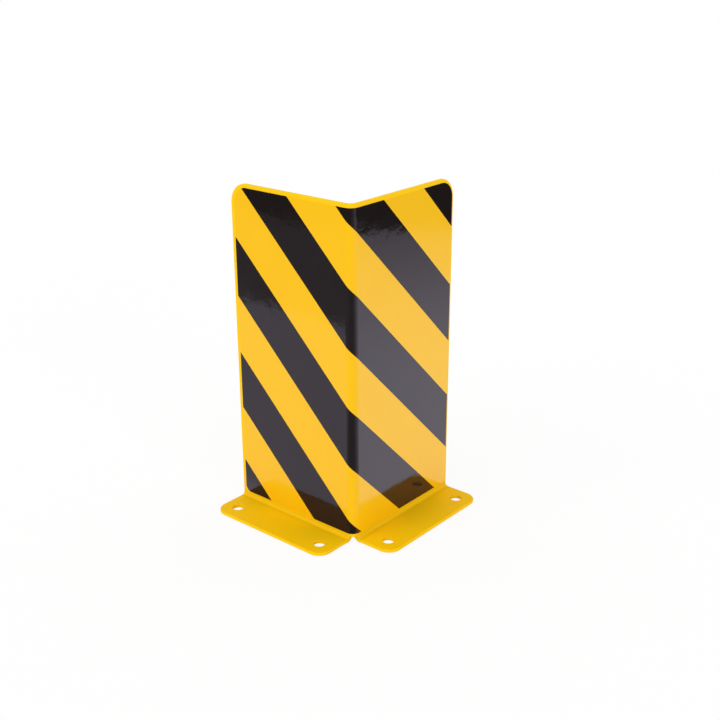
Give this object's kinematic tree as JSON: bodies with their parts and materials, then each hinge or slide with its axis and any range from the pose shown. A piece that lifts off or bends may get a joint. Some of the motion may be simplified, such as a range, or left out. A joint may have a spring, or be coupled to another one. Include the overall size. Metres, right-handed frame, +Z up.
{
  "type": "rack column guard",
  "caption": "Folded steel corner guard that bolts to the floor around a pallet rack column, yellow coated, with slanted black film stripes over both walls.",
  "frame": {"origin": "middle of the footprint's box, on the floor that the feet stand on", "axes": "+Z up, +X along the right wall to its free end, +Y along the left wall to its free end; the outside of the corner points to -X and -Y"},
  "size_m": [0.23, 0.23, 0.4],
  "materials": {
    "yellow_coat": "glossy yellow powder coat on steel",
    "black_film": "glossy black adhesive film"
  },
  "bodies": {
    "root": {"guard_plate": "yellow_coat", "film_stripe_1": "black_film", "film_stripe_2": "black_film", "film_stripe_3": "black_film", "film_stripe_4": "black_film", "film_stripe_5": "black_film", "film_stripe_6": "black_film"}
  },
  "joints": []
}
